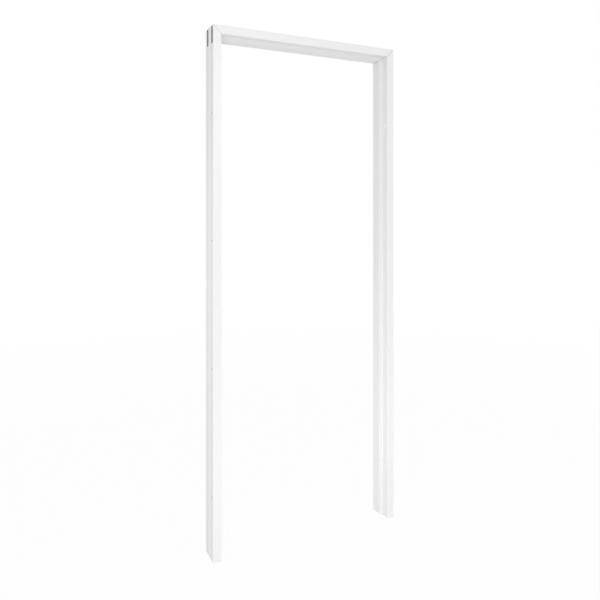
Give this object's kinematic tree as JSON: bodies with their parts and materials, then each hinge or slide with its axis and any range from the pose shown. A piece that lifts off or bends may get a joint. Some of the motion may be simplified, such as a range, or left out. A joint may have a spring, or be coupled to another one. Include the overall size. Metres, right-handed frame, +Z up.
{
  "type": "plastic door frame",
  "caption": "White plastic door frame with a stepped profile, mitred top corners and steel inside, for an inside door.",
  "frame": {"origin": "on the floor, at the middle of the frame's width and depth", "axes": "+X across the doorway, -Y the front face where the door leaf lies in the rebate, +Z up"},
  "size_m": [0.8, 0.096, 2],
  "materials": {
    "frame_plastic": "satin",
    "cap_plastic": "gloss",
    "galvanised_steel": "satin",
    "cleat_steel": "satin",
    "screw_zinc": "satin"
  },
  "bodies": {
    "root": {"head": "frame_plastic", "head_front_steel": "galvanised_steel", "head_rear_steel": "galvanised_steel", "left_cap_1": "cap_plastic", "left_cap_2": "cap_plastic", "left_cap_3": "cap_plastic", "left_cap_4": "cap_plastic", "left_front_cleat": "cleat_steel", "left_front_cleat_screws": "screw_zinc", "left_jamb": "frame_plastic", "left_jamb_front_steel": "galvanised_steel", "left_jamb_rear_steel": "galvanised_steel", "left_rear_cleat": "cleat_steel", "left_rear_cleat_screws": "screw_zinc", "right_cap_1": "cap_plastic", "right_cap_2": "cap_plastic", "right_cap_3": "cap_plastic", "right_cap_4": "cap_plastic", "right_front_cleat": "cleat_steel", "right_front_cleat_screws": "screw_zinc", "right_jamb": "frame_plastic", "right_jamb_front_steel": "galvanised_steel", "right_jamb_rear_steel": "galvanised_steel", "right_rear_cleat": "cleat_steel", "right_rear_cleat_screws": "screw_zinc"}
  },
  "joints": []
}
